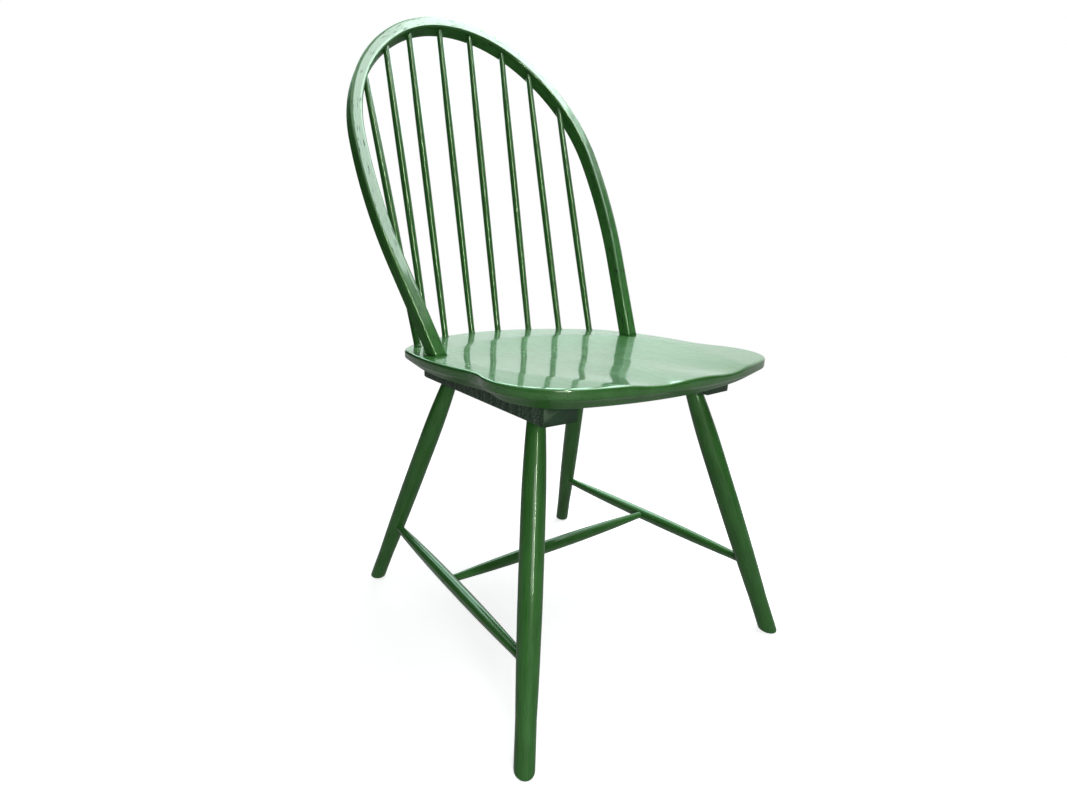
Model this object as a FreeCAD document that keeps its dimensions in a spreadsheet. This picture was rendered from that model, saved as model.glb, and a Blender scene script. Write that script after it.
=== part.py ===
import FreeCAD, Part
import math
import os
import re
from collections import namedtuple

import Sketcher
from FreeCAD import Placement, Rotation, Vector

# Windsor chair: a bent bow back with eight spindles, a saddled plank seat on two battens, and
# four splayed turned legs tied by three stretchers.
# Millimetres, +Z up. The front faces -Y; left and right are as seen from the front.
# The origin is on the floor, under the middle of the chair's overall box.

doc = FreeCAD.newDocument("windsor_chair")
sheet = doc.addObject("Spreadsheet::Sheet", "Sizes")

DRIVING_SIZES = {
    "Seat": {
        "seat_height": 445,
        "seat_thickness": 27,
        "seat_back_y": 184,
        "seat_front_y": -293,
        "seat_back_radius": 265,
        "seat_ear_y": 93.5,
        "seat_ear_radius": 70,
        "seat_side_y": 63.3,
        "seat_side_radius": 405,
        "seat_waist_y": -104.4,
        "seat_waist_radius": 98,
        "seat_corner_y": -151.9,
        "seat_corner_radius": 93.5,
        "seat_bevel_width": 20,
        "seat_bevel_height": 15,
        "seat_top_round": 4,
    },
    "Saddle": {
        "saddle_depth": 7,
        "saddle_centre_y": -65,
        "saddle_half_width": 190,
        "saddle_rear_length": 150,
        "saddle_front_length": 225,
        "thigh_depth": 4.5,
        "thigh_offset": 68,
        "thigh_half_width": 45,
    },
    "Bow": {
        "bow_foot_x": 194.8,
        "bow_foot_y": 2.8,
        "bow_lean": 27.76,
        "bow_flare": 10.54,
        "bow_straight": 147,
        "bow_side_radius": 902,
        "bow_shoulder_start": 354.7,
        "bow_shoulder_radius": 269.4,
        "bow_crown_radius": 210.3,
        "bow_width": 20.4,
        "bow_depth": 24,
        "bow_edge_round": 3.5,
        "bow_tenon": 16,
        "bow_tenon_length": 21,
        "bow_foot_waste": 30,
    },
    "Spindles": {
        "spindle_middle": 13,
        "spindle_top": 10.5,
        "spindle_foot": 11,
        "spindle_seat_depth": 18,
        "spindle_bow_depth": 14,
        "spindle_foot_straight": 8,
        "spindle_top_straight": 20,
    },
    "Battens": {
        "batten_width": 52,
        "batten_thickness": 29,
        "batten_front_length": 48,
        "batten_rear_length": 57,
        "batten_edge_round": 1.5,
        "batten_end_round": 6,
    },
    "Legs": {
        "front_foot_x": 244.7,
        "front_foot_y": -285.1,
        "front_socket_x": 150,
        "front_socket_y": -171.1,
        "rear_foot_x": 226.4,
        "rear_foot_y": 189.6,
        "rear_socket_x": 139.5,
        "rear_socket_y": 59.9,
        "leg_foot": 25.6,
        "leg_belly": 31,
        "leg_neck": 24,
        "leg_foot_straight": 60,
        "leg_belly_low": 245,
        "leg_belly_high": 300,
        "leg_neck_straight": 6,
        "leg_foot_round": 4,
        "leg_waste": 14,
    },
    "Stretchers": {
        "stretcher_height": 114.3,
        "stretcher_middle": 20,
        "stretcher_middle_half": 16,
        "stretcher_end": 13.5,
        "stretcher_end_straight": 26,
        "stretcher_past_leg": 4,
        "cross_end": 11.5,
        "cross_end_straight": 18,
        "cross_past_side": 2,
    },
    "Fasteners": {
        "batten_screw_shank": 4.5,
        "batten_screw_head": 8.6,
        "batten_screw_head_depth": 2.1,
        "batten_screw_length": 42,
        "batten_screw_start": 30,
        "batten_screw_pitch": 141,
        "bow_screw_shank": 3.5,
        "bow_screw_head": 6.8,
        "bow_screw_head_depth": 1.7,
        "bow_screw_length": 20,
        "bow_screw_forward": 8,
        "bow_screw_inward": 1.4,
        "screw_point": 5,
        "screw_tip": 0.8,
        "slot_width": 1.1,
        "slot_depth": 1.2,
        "brad_shank": 1.8,
        "brad_length": 19,
        "brad_sunk": 2,
        "brad_mouth": 3.2,
    },
}

# Where each pair of spindles stands on the seat, and how far apart it meets the bow, from the
# middle pair out: (x on the seat, y on the seat, x on the bow).
SPINDLE_PAIRS = [(29, 171, 31), (92, 158.8, 96), (143, 129.5, 147), (182.4, 87.8, 198)]

next_row = 1


def add_cells(heading, cells):
    """Writes a group of sizes to the sheet: a heading, then one named value a row."""
    global next_row
    sheet.set(f"A{next_row}", heading)
    for alias, value in cells.items():
        next_row += 1
        sheet.set(f"A{next_row}", alias.replace("_", " "))
        sheet.set(f"B{next_row}", str(value))
        sheet.setAlias(f"B{next_row}", alias)
    next_row += 2
    doc.recompute()


def size(alias):
    return float(sheet.get(alias))


def on_sheet(formula):
    """Puts the sheet's name in front of every size in a formula."""
    return re.sub(r"[a-z]+(?:_[a-z0-9]+)+", lambda found: "Sizes." + found.group(), formula)


for heading, cells in DRIVING_SIZES.items():
    add_cells(heading, cells)

SEAT_TOP = size("seat_height")
SEAT_UNDER = SEAT_TOP - size("seat_thickness")
BATTEN_UNDER = SEAT_UNDER - size("batten_thickness")
BEYOND = 20.0
NEAR = 0.01
SIDES = {"left": -1, "right": 1}
UP = Vector(0, 0, 1)


# Bodies, sketches and the tools that cut them.

Run = namedtuple("Run", "index start finish")


def new_body(label, placement=None):
    body = doc.addObject("PartDesign::Body", label)
    body.Label = label
    body.Placement = placement or Placement()
    return body


def sketch_on(body, name, role):
    """A sketch on one of the body's own origin planes."""
    plane = [feature for feature in body.Origin.OriginFeatures if feature.Role == role][0]
    sketch = body.newObject("Sketcher::SketchObject", name)
    sketch.AttachmentSupport = [(plane, "")]
    sketch.MapMode = "FlatFace"
    return sketch


def constrain(sketch, *terms):
    return sketch.addConstraint(Sketcher.Constraint(*terms))


def measure(sketch, name, formula, *terms):
    """A named dimension driven by a formula on the sheet; terms end with its starting value."""
    sketch.renameConstraint(constrain(sketch, *terms), name)
    sketch.setExpression(f"Constraints.{name}", on_sheet(formula))


def line(sketch, start, end):
    return Run(sketch.addGeometry(Part.LineSegment(start, end), False), 1, 2)


def arc(sketch, centre, start, end, turn="left"):
    """An arc that turns left or right as it goes from start to end."""
    first, last = (start, end) if turn == "left" else (end, start)
    low, high = [math.atan2(p.y - centre.y, p.x - centre.x) for p in (first, last)]
    if high < low:
        high += 2 * math.pi
    circle = Part.Circle(centre, UP, (start - centre).Length)
    index = sketch.addGeometry(Part.ArcOfCircle(circle, low, high), False)
    return Run(index, 1, 2) if turn == "left" else Run(index, 2, 1)


def join(sketch, runs, smooth=False):
    """Joins each run's end to the next one's start, tangent to it where smooth."""
    for first, second in zip(runs, runs[1:]):
        kind = "Tangent" if smooth else "Coincident"
        constrain(sketch, kind, first.index, first.finish, second.index, second.start)


def pad(body, sketch, length, midplane=False):
    block = body.newObject("PartDesign::Pad", "Pad")
    block.Profile = sketch
    block.Midplane = midplane
    block.setExpression("Length", on_sheet(length))
    sketch.Visibility = False
    return block


def other_half(body, feature):
    """Mirrors a half-built piece about the chair's middle plane."""
    plane = [f for f in body.Origin.OriginFeatures if f.Role == "YZ_Plane"][0]
    whole = body.newObject("PartDesign::Mirrored", "BothHalves")
    whole.Originals = [feature]
    whole.MirrorPlane = (plane, [""])
    body.Tip = whole
    doc.recompute()
    return whole


def aim(start, direction):
    """The placement at start whose Z axis runs along direction, with X level or upward."""
    near = UP if abs(direction.x) + abs(direction.y) > 1e-6 else Vector(1, 0, 0)
    return Placement(start, Rotation(near, Vector(), direction, "ZXY"))


def place_tool(body, tool, placement):
    """Puts a cutting or joining solid at a place in the chair's own frame."""
    tool.Placement = body.Placement.inverse().multiply(placement)


def bore(body, name, start, direction, diameter, length):
    """A round hole from start along direction; diameter and length are formulas."""
    hole = body.newObject("PartDesign::SubtractiveCylinder", name)
    hole.setExpression("Radius", on_sheet(f"({diameter}) / 2"))
    hole.setExpression("Height", on_sheet(length))
    place_tool(body, hole, aim(start, direction))
    return hole


def countersink(body, name, start, direction, kind):
    """The cone-shaped seat of a screw's head, from the face inward."""
    cone = body.newObject("PartDesign::SubtractiveCone", name)
    cone.setExpression("Radius1", on_sheet(f"{kind}_head / 2"))
    cone.setExpression("Radius2", on_sheet(f"{kind}_shank / 2"))
    cone.setExpression("Height", on_sheet(f"{kind}_head_depth"))
    place_tool(body, cone, aim(start, direction))
    return cone


def saw_off(body, name, point, above):
    """Saws off level what stands above or below a point, as a flush-cut saw does."""
    reach = 120.0
    block = body.newObject("PartDesign::SubtractiveBox", name)
    block.Length = reach
    block.Width = reach
    block.Height = reach
    corner = point - Vector(reach / 2, reach / 2, 0 if above else reach)
    place_tool(body, block, Placement(corner, Rotation()))
    return block


def round_edges(body, name, radius, chosen):
    """Fillets the edges of the body's last feature that pass the test."""
    doc.recompute()
    last = body.Tip
    edges = [f"Edge{i + 1}" for i, edge in enumerate(last.Shape.Edges) if chosen(edge)]
    fillet = body.newObject("PartDesign::Fillet", name)
    fillet.Base = (last, edges)
    fillet.setExpression("Radius", on_sheet(radius))
    doc.recompute()
    return fillet


def added(aliases):
    """Sizes added up, as a value and as a formula; one with a minus is taken away."""
    value = sum(-size(alias[1:]) if alias[0] == "-" else size(alias) for alias in aliases)
    return value, " + ".join(f"({alias})" for alias in aliases)


def turn_on_lathe(body, stations):
    """A turned piece whose axis is the body's Z axis, from stations up its length.

    A station is (name, sizes that add up to its height, diameter, run to the next). A run is
    "line", "swell" (an arc that ends parallel to the axis) or "fall" (one that starts so).
    The first station is the piece's end, at height 0.
    """
    sketch = sketch_on(body, "Outline", "XZ_Plane")
    points = [Vector(size(girth) / 2, added(height)[0], 0) for _, height, girth, _ in stations]
    bottom, top = Vector(), Vector(0, points[-1].y, 0)
    runs = [line(sketch, bottom, points[0])]
    for (_, _, _, kind), low, high in zip(stations, points, points[1:]):
        if kind == "line":
            runs.append(line(sketch, low, high))
            continue
        fullest = high if kind == "swell" else low
        rise, drop = high.y - low.y, abs(high.x - low.x)
        radius = (rise ** 2 + drop ** 2) / (2 * drop)
        runs.append(arc(sketch, fullest - Vector(radius, 0, 0), low, high))
        level = runs[-1].finish if kind == "swell" else runs[-1].start
        constrain(sketch, "Horizontal", runs[-1].index, 3, runs[-1].index, level)
    rim = line(sketch, points[-1], top)
    axis = line(sketch, top, bottom)
    join(sketch, runs + [rim, axis, runs[0]])
    constrain(sketch, "Coincident", runs[0].index, 1, -1, 1)
    constrain(sketch, "PointOnObject", axis.index, 1, -2)
    constrain(sketch, "Horizontal", runs[0].index)
    constrain(sketch, "Horizontal", rim.index)
    for (name, height, girth, _), point, run in zip(stations, points, runs):
        end = (-1, 1, run.index, run.finish)
        measure(sketch, f"{name}_radius", f"{girth} / 2", "DistanceX", *end, point.x)
        if height:
            measure(sketch, f"{name}_height", added(height)[1], "DistanceY", *end, point.y)
    turned = body.newObject("PartDesign::Revolution", "Turned")
    turned.Profile = sketch
    turned.ReferenceAxis = (sketch, ["V_Axis"])
    turned.Angle = 360
    sketch.Visibility = False
    return turned


# The lines that the pieces are set out from: axes of the legs and stretchers, and the bow.

def on_side(point, side):
    """The matching point on the given side, from the one on the right."""
    return Vector(side * point.x, point.y, point.z)


def leg_axis(row, side):
    """The middle of the foot on the floor, and the leg's upward direction."""
    foot = Vector(size(f"{row}_foot_x"), size(f"{row}_foot_y"), 0)
    socket = Vector(size(f"{row}_socket_x"), size(f"{row}_socket_y"), BATTEN_UNDER)
    return on_side(foot, side), on_side((socket - foot).normalize(), side)


def on_leg(row, side, height):
    foot, direction = leg_axis(row, side)
    return foot + direction * (height / direction.z)


def side_stretcher_ends(side):
    height = size("stretcher_height")
    return on_leg("front", side, height), on_leg("rear", side, height)


def side_stretcher_middle(side):
    front, rear = side_stretcher_ends(side)
    return (front + rear) * 0.5


class BowLine:
    """The right half of the bow's centreline: a straight foot, then side, shoulder and crown.

    It lies in the bow's own plane, where X is across the chair and Y is up the bow.
    """

    def __init__(self):
        flare = math.radians(size("bow_flare"))
        self.along = Vector(math.sin(flare), math.cos(flare), 0)
        self.foot = Vector(size("bow_foot_x"), 0, 0)
        across = Vector(math.cos(flare), -math.sin(flare), 0)
        side, shoulder = size("bow_side_radius"), size("bow_shoulder_radius")
        crown = size("bow_crown_radius")
        side_centre = self.foot + self.along * size("bow_straight") - across * side
        rise = size("bow_shoulder_start") - side_centre.y
        to_shoulder = Vector(math.sqrt(side ** 2 - rise ** 2), rise, 0).normalize()
        shoulder_centre = side_centre + to_shoulder * (side - shoulder)
        lift = math.sqrt((shoulder - crown) ** 2 - shoulder_centre.x ** 2)
        crown_centre = shoulder_centre + Vector(-shoulder_centre.x, lift, 0)
        to_crown = (crown_centre - shoulder_centre).normalize()
        waste = self.along * size("bow_foot_waste")
        self.outer_foot = self.foot - waste + across * (size("bow_width") / 2)
        self.inner_foot = self.foot - waste - across * (size("bow_width") / 2)
        self.centres = [side_centre, shoulder_centre, crown_centre]
        self.radii = [side, shoulder, crown]
        self.joints = [across, to_shoulder, to_crown, Vector(0, 1, 0)]

    def edge_joints(self, offset):
        """The points where one arc meets the next, on a line parallel to the centreline."""
        ends = [c + j * (r + offset) for c, r, j in zip(self.centres, self.radii, self.joints)]
        return ends + [self.centres[-1] + self.joints[-1] * (self.radii[-1] + offset)]

    def inside_height(self, x):
        """How far up the bow its inner edge is, beside a spindle x from the middle."""
        inset = size("bow_width") / 2
        crown_end = self.edge_joints(-inset)[2].x
        nearest = 2 if x < crown_end else 1
        centre, radius = self.centres[nearest], self.radii[nearest] - inset
        return centre.y + math.sqrt(radius ** 2 - (x - centre.x) ** 2)


bow_line = BowLine()
bow_place = Placement(
    Vector(0, size("bow_foot_y"), SEAT_TOP), Rotation(Vector(1, 0, 0), -size("bow_lean"))
)


def in_bow_plane(point):
    """A point of the bow's plane in the chair's frame."""
    return bow_place.multVec(Vector(point.x, 0, point.y))


def bow_foot(side):
    """Where the bow's centreline meets the seat, and its direction down into it."""
    down = in_bow_plane(bow_line.foot) - in_bow_plane(bow_line.foot + bow_line.along)
    return on_side(in_bow_plane(bow_line.foot), side), on_side(down, side)


def spindle_ends(pair, side):
    """The spindle's middle at the seat's top and at the bow's inner edge."""
    seat_x, seat_y, bow_x = pair
    top = Vector(bow_x, bow_line.inside_height(bow_x), 0)
    return (
        on_side(Vector(seat_x, seat_y, SEAT_TOP), side),
        on_side(in_bow_plane(top), side),
    )


# The eight spindles, numbered from the chair's left to its right.
SPINDLES = [(pair, -1) for pair in reversed(SPINDLE_PAIRS)] + [(pair, 1) for pair in SPINDLE_PAIRS]


def leg_reach(row):
    """Along the leg, from the floor to the batten's underside and to the seat's."""
    direction = leg_axis(row, 1)[1]
    return BATTEN_UNDER / direction.z, SEAT_UNDER / direction.z


def spindle_length(pair):
    low, high = spindle_ends(pair, 1)
    return (high - low).Length


add_cells("Worked out from the sizes above", {
    "front_leg_to_batten": leg_reach("front")[0],
    "front_leg_to_seat": leg_reach("front")[1],
    "rear_leg_to_batten": leg_reach("rear")[0],
    "rear_leg_to_seat": leg_reach("rear")[1],
    "side_stretcher_half": (side_stretcher_ends(1)[1] - side_stretcher_middle(1)).Length,
    "cross_stretcher_half": side_stretcher_middle(1).x,
    "batten_span": (
        on_leg("rear", 1, (SEAT_UNDER + BATTEN_UNDER) / 2)
        - on_leg("front", 1, (SEAT_UNDER + BATTEN_UNDER) / 2)
    ).Length,
    **{f"spindle_half_{i}": spindle_length(pair) / 2 for i, pair in enumerate(SPINDLE_PAIRS)},
    "bow_outer_foot_x": bow_line.outer_foot.x,
    "bow_outer_foot_drop": -bow_line.outer_foot.y,
    "bow_outer_joint": bow_line.edge_joints(size("bow_width") / 2)[1].y,
})


# Legs: turned, thin at the neck, fullest a quarter of the way down and slimmer at the foot.

def make_leg(row, side_name):
    side = SIDES[side_name]
    foot, direction = leg_axis(row, side)
    label = f"leg_{row}_{side_name}"
    body = new_body(label, aim(foot - direction * size("leg_waste"), direction))
    turn_on_lathe(body, [
        ("foot", [], "leg_foot", "line"),
        ("ankle", ["leg_waste", "leg_foot_straight"], "leg_foot", "swell"),
        ("belly_low", ["leg_waste", "leg_belly_low"], "leg_belly", "line"),
        ("belly_high", ["leg_waste", "leg_belly_high"], "leg_belly", "fall"),
        ("neck", ["leg_waste", f"{row}_leg_to_batten", "-leg_neck_straight"], "leg_neck", "line"),
        ("tenon", ["leg_waste", f"{row}_leg_to_seat", "leg_waste"], "leg_neck", "line"),
    ])
    saw_off(body, "LevelFoot", foot, above=False)
    saw_off(body, "FlushTenon", on_leg(row, side, SEAT_UNDER), above=True)
    round_edges(body, "FootEdge", "leg_foot_round", lambda edge: on_floor(body, edge))
    ends = dict(zip(("front", "rear"), side_stretcher_ends(side)))
    here, there = ends[row], ends["rear" if row == "front" else "front"]
    away = (here - there).normalize()
    bore(body, "StretcherSocket", here - away * BEYOND, away,
         "stretcher_end", f"{BEYOND} + stretcher_past_leg")
    return body


def on_floor(body, edge):
    points = [body.Placement.multVec(vertex.Point) for vertex in edge.Vertexes]
    return all(abs(point.z) < NEAR for point in points)


# Stretchers: turned, fullest in the middle, with tapered ends that go straight into sockets.

def make_stretcher(label, start, end, half_span, end_size, straight, past):
    direction = (end - start).normalize()
    body = new_body(label, aim(start - direction * size(past), direction))
    turn_on_lathe(body, [
        ("end", [], end_size, "line"),
        ("shank", [past, straight], end_size, "swell"),
        ("middle", [past, half_span, "-stretcher_middle_half"], "stretcher_middle", "line"),
        ("far_middle", [past, half_span, "stretcher_middle_half"], "stretcher_middle", "fall"),
        ("far_shank", [past, half_span, half_span, "-" + straight], end_size, "line"),
        ("far_end", [past, half_span, half_span, past], end_size, "line"),
    ])
    return body


def brad_start(side):
    """The outer end of the brad, below the side stretcher's surface, and its way in."""
    outward = Vector(side, 0, 0)
    depth = size("stretcher_middle") / 2 - size("brad_sunk")
    return side_stretcher_middle(side) + outward * depth, -outward


def make_side_stretcher(side_name):
    side = SIDES[side_name]
    front, rear = side_stretcher_ends(side)
    body = make_stretcher(
        f"side_stretcher_{side_name}", front, rear, "side_stretcher_half",
        "stretcher_end", "stretcher_end_straight", "stretcher_past_leg",
    )
    middle = side_stretcher_middle(side)
    outward = Vector(side, 0, 0)
    bore(body, "CrossSocket", middle - outward * BEYOND, outward,
         "cross_end", f"{BEYOND} + cross_past_side")
    bore(body, "BradHole", middle + outward * BEYOND, -outward, "brad_shank", f"{BEYOND}")
    bore(body, "BradMouth", middle + outward * BEYOND, -outward,
         "brad_mouth", f"{BEYOND} - stretcher_middle / 2 + brad_sunk")
    return body


def make_cross_stretcher():
    left, right = side_stretcher_middle(-1), side_stretcher_middle(1)
    body = make_stretcher(
        "cross_stretcher", left, right, "cross_stretcher_half",
        "cross_end", "cross_end_straight", "cross_past_side",
    )
    for side_name, side in SIDES.items():
        bore(body, f"BradHole_{side_name}", *brad_start(side), "brad_shank", "brad_length")
    return body


def make_brads():
    """Two headless nails, each through a side stretcher into the cross stretcher's end."""
    start, inward = brad_start(1)
    body = new_body("stretcher_brads", Placement(Vector(0, start.y, start.z), Rotation()))
    brad = body.newObject("PartDesign::AdditiveCylinder", "Brad")
    brad.setExpression("Radius", on_sheet("brad_shank / 2"))
    brad.setExpression("Height", on_sheet("brad_length"))
    place_tool(body, brad, aim(start, inward))
    other_half(body, brad)
    return body


# Battens: sawn bars under the seat, bored through for the legs and screwed up into the plank.

def batten_place(side):
    level = (SEAT_UNDER + BATTEN_UNDER) / 2
    front, rear = on_leg("front", side, level), on_leg("rear", side, level)
    front.z = rear.z = BATTEN_UNDER
    return Placement(front, Rotation(Vector(), rear - front, UP, "ZYX"))


def batten_screw_points(side):
    place = batten_place(side)
    first, pitch = -size("batten_screw_start"), size("batten_screw_pitch")
    return [place.multVec(Vector(0, first + i * pitch, 0)) for i in range(3)]


def make_batten(side_name):
    side = SIDES[side_name]
    body = new_body(f"batten_{side_name}", batten_place(side))
    sketch = sketch_on(body, "Plan", "XY_Plane")
    half = size("batten_width") / 2
    front = size("batten_front_length")
    rear = size("batten_span") + size("batten_rear_length")
    corners = [Vector(half, -front), Vector(half, rear), Vector(-half, rear), Vector(-half, -front)]
    runs = [line(sketch, p, q) for p, q in zip(corners, corners[1:] + corners[:1])]
    join(sketch, runs + runs[:1])
    for run in runs[::2]:
        constrain(sketch, "Vertical", run.index)
    for run in runs[1::2]:
        constrain(sketch, "Horizontal", run.index)
    measure(sketch, "right_edge", "batten_width / 2", "DistanceX", -1, 1, runs[0].index, 2, half)
    measure(sketch, "left_edge", "batten_width / 2", "DistanceX", runs[2].index, 1, -1, 1, half)
    measure(sketch, "front_end", "batten_front_length", "DistanceY", runs[0].index, 1, -1, 1, front)
    measure(sketch, "rear_end", "batten_span + batten_rear_length",
            "DistanceY", -1, 1, runs[0].index, 2, rear)
    pad(body, sketch, "batten_thickness")
    round_edges(body, "RearEnd", "batten_end_round",
                lambda edge: all(v.Z < NEAR and v.Y > rear - NEAR for v in edge.Vertexes))
    round_edges(body, "LowerEdges", "batten_edge_round", lambda edge: is_lower_edge(edge, half))
    for row in ("front", "rear"):
        foot, direction = leg_axis(row, side)
        start = on_leg(row, side, BATTEN_UNDER - BEYOND)
        bore(body, f"LegSocket_{row}", start, direction,
             "leg_neck", f"{4 * BEYOND} + batten_thickness")
    for i, point in enumerate(batten_screw_points(side)):
        bore(body, f"ScrewHole_{i}", point, UP, "batten_screw_shank", "batten_thickness + 1")
        countersink(body, f"ScrewSeat_{i}", point, UP, "batten_screw")
    return body


def is_lower_edge(edge, half):
    """The two long edges of the underside."""
    low = all(vertex.Z < NEAR for vertex in edge.Vertexes)
    return low and abs(abs(edge.CenterOfMass.x) - half) < NEAR


# Screws: turned with a slotted countersunk head, each kind one group of separate solids.

def make_screws(label, kind, place, along, count, reach):
    """Screws that stand head down, the first at place and the rest in a row from it."""
    body = new_body(label, place)
    turned = turn_on_lathe(body, [
        ("rim", [], f"{kind}_head", "line"),
        ("neck", [f"{kind}_head_depth"], f"{kind}_shank", "line"),
        ("shank_end", [f"{kind}_length", "-screw_point"], f"{kind}_shank", "line"),
        ("point", [f"{kind}_length"], "screw_tip", "line"),
    ])
    slot = body.newObject("PartDesign::Pocket", "Slot")
    slot.Profile = draw_box(sketch_on(body, "SlotPlan", "XY_Plane"), f"{kind}_head", "slot_width")
    slot.setExpression("Length", on_sheet("slot_depth"))
    slot.Reversed = True
    row = body.newObject("PartDesign::LinearPattern", "Row")
    row.Originals = [turned, slot]
    axis = [feature for feature in body.Origin.OriginFeatures if feature.Role == along][0]
    row.Direction = (axis, [""])
    row.setExpression("Length", on_sheet(reach))
    row.Occurrences = count
    body.Tip = row
    return body


def draw_box(sketch, length, width):
    """A rectangle about the sketch's origin, of two named sizes."""
    x, y = size(length) / 2, size(width) / 2
    corners = [Vector(x, -y), Vector(x, y), Vector(-x, y), Vector(-x, -y)]
    runs = [line(sketch, p, q) for p, q in zip(corners, corners[1:] + corners[:1])]
    join(sketch, runs + runs[:1])
    for run in runs[::2]:
        constrain(sketch, "Vertical", run.index)
    for run in runs[1::2]:
        constrain(sketch, "Horizontal", run.index)
    right, left = (runs[0].index, 1), (runs[2].index, 1)
    measure(sketch, "right", f"{length} / 2", "DistanceX", -1, 1, *right, x)
    measure(sketch, "left", f"{length} / 2", "DistanceX", *left, -1, 1, x)
    measure(sketch, "below", f"{width} / 2", "DistanceY", *right, -1, 1, y)
    measure(sketch, "above", f"{width} / 2", "DistanceY", -1, 1, *left, y)
    sketch.Visibility = False
    return sketch


def bow_screw_point(side):
    """Under the bow's tenon, on the underside of the seat."""
    foot = bow_foot(1)[0]
    x, y = foot.x - size("bow_screw_inward"), foot.y - size("bow_screw_forward")
    return on_side(Vector(x, y, SEAT_UNDER), side)


# Seat: a plank cut to a shield-shaped outline, bevelled below, dished on top.

def seat_arcs():
    """The outline's right half from the back to the front: (centre, start, end, turn) an arc."""
    back, front = size("seat_back_y"), size("seat_front_y")
    start = Vector(0, back, 0)
    centre = Vector(0, back - size("seat_back_radius"), 0)
    arcs = []
    for alias, end_alias, next_alias in (
        ("seat_back_radius", "seat_ear_y", "seat_ear_radius"),
        ("seat_ear_radius", "seat_side_y", "seat_side_radius"),
        ("seat_side_radius", "seat_waist_y", "seat_waist_radius"),
        ("seat_waist_radius", "seat_corner_y", "seat_corner_radius"),
    ):
        rise = size(end_alias) - centre.y
        run = math.sqrt(size(alias) ** 2 - rise ** 2)
        hollow = alias == "seat_waist_radius"
        end = Vector(centre.x + (-run if hollow else run), size(end_alias), 0)
        arcs.append((centre, start, end, "left" if hollow else "right"))
        crossing = -1 if "seat_waist_radius" in (alias, next_alias) else 1
        centre = end + (centre - end).normalize() * (crossing * size(next_alias))
        start = end
    corner = size("seat_corner_radius")
    reach = centre.y - front
    last = (centre.x ** 2 + reach ** 2 - corner ** 2) / (2 * (reach - corner))
    front_centre = Vector(0, front + last, 0)
    end = centre + (centre - front_centre).normalize() * corner
    arcs.append((centre, start, end, "right"))
    arcs.append((front_centre, end, Vector(0, front, 0), "right"))
    return arcs


def draw_seat_outline(body):
    sketch = sketch_on(body, "Outline", "XY_Plane")
    runs = [arc(sketch, *places) for places in seat_arcs()]
    middle = line(sketch, Vector(0, size("seat_front_y"), 0), Vector(0, size("seat_back_y"), 0))
    join(sketch, runs, smooth=True)
    join(sketch, [runs[-1], middle, runs[0]])
    for index, place in ((middle.index, 1), (middle.index, 2),
                         (runs[0].index, 3), (runs[-1].index, 3)):
        constrain(sketch, "PointOnObject", index, place, -2)
    names = ("back", "ear", "side", "waist", "corner")
    for name, run, places in zip(names, runs, seat_arcs()):
        centre, start = places[:2]
        measure(sketch, f"{name}_radius", f"seat_{name}_radius",
                "Radius", run.index, (start - centre).Length)
        measure_y(sketch, f"{name}_y", f"seat_{name}_y", run.index, run.start)
    measure_y(sketch, "front_y", "seat_front_y", middle.index, middle.start)
    return sketch


def measure_y(sketch, name, alias, index, place):
    """A point's Y, measured from the origin upward or downward."""
    y = size(alias)
    if y >= 0:
        measure(sketch, name, alias, "DistanceY", -1, 1, index, place, y)
    else:
        measure(sketch, name, f"0 - {alias}", "DistanceY", index, place, -1, 1, -y)


def level_edges(body, height):
    """The edges of the body's last feature that lie flat at a height."""
    doc.recompute()
    found = []
    for i, edge in enumerate(body.Tip.Shape.Edges):
        box = edge.BoundBox
        if box.ZMin > height - NEAR and box.ZMax < height + NEAR:
            found.append(f"Edge{i + 1}")
    return found


def make_seat_blank():
    """The plank before its top is dished: outline, bevel below, and every hole."""
    body = new_body("seat_blank", Placement(Vector(0, 0, SEAT_UNDER), Rotation()))
    other_half(body, pad(body, draw_seat_outline(body), "seat_thickness"))
    whole = body.Tip
    bevel_edges = level_edges(body, 0)
    bevel = body.newObject("PartDesign::Chamfer", "Bevel")
    bevel.Base = (whole, bevel_edges)
    bevel.ChamferType = "Two distances"
    bevel.setExpression("Size", on_sheet("seat_bevel_height"))
    bevel.setExpression("Size2", on_sheet("seat_bevel_width"))
    top_edges = level_edges(body, size("seat_thickness"))
    rounding = body.newObject("PartDesign::Fillet", "TopEdge")
    rounding.Base = (bevel, top_edges)
    rounding.setExpression("Radius", on_sheet("seat_top_round"))
    for i, (pair, side) in enumerate(SPINDLES):
        low, high = spindle_ends(pair, side)
        down = (low - high).normalize()
        bore(body, f"SpindleSocket_{i + 1}", low - down * BEYOND, down,
             "spindle_foot", f"{BEYOND} + spindle_seat_depth")
    for name, side in SIDES.items():
        foot, down = bow_foot(side)
        bore(body, f"BowSocket_{name}", foot - down * BEYOND, down,
             "bow_tenon", f"{BEYOND} + bow_tenon_length")
        point = bow_screw_point(side)
        bore(body, f"BowScrewHole_{name}", point, UP, "bow_screw_shank", "bow_screw_length")
        countersink(body, f"BowScrewSeat_{name}", point, UP, "bow_screw")
        for i, below in enumerate(batten_screw_points(side)):
            start = Vector(below.x, below.y, SEAT_UNDER)
            bore(body, f"BattenScrewHole_{name}_{i}", start, UP,
                 "batten_screw_shank", "batten_screw_length - batten_thickness")
    return body


def saddle_height(x, y):
    """The dished surface: a shallow bowl, with a hollow for each thigh toward the front."""
    back = y - size("saddle_centre_y")
    reach = size("saddle_rear_length") if back > 0 else size("saddle_front_length")
    bowl = (x / size("saddle_half_width")) ** 2 + (back / reach) ** 2 - 1
    forward = min(max(-back / reach, 0), 1) ** 2
    spread = size("thigh_half_width")
    thighs = sum(math.exp(-((x - s * size("thigh_offset")) / spread) ** 2) for s in (-1, 1))
    return SEAT_TOP + size("saddle_depth") * bowl - size("thigh_depth") * forward * thighs


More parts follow.
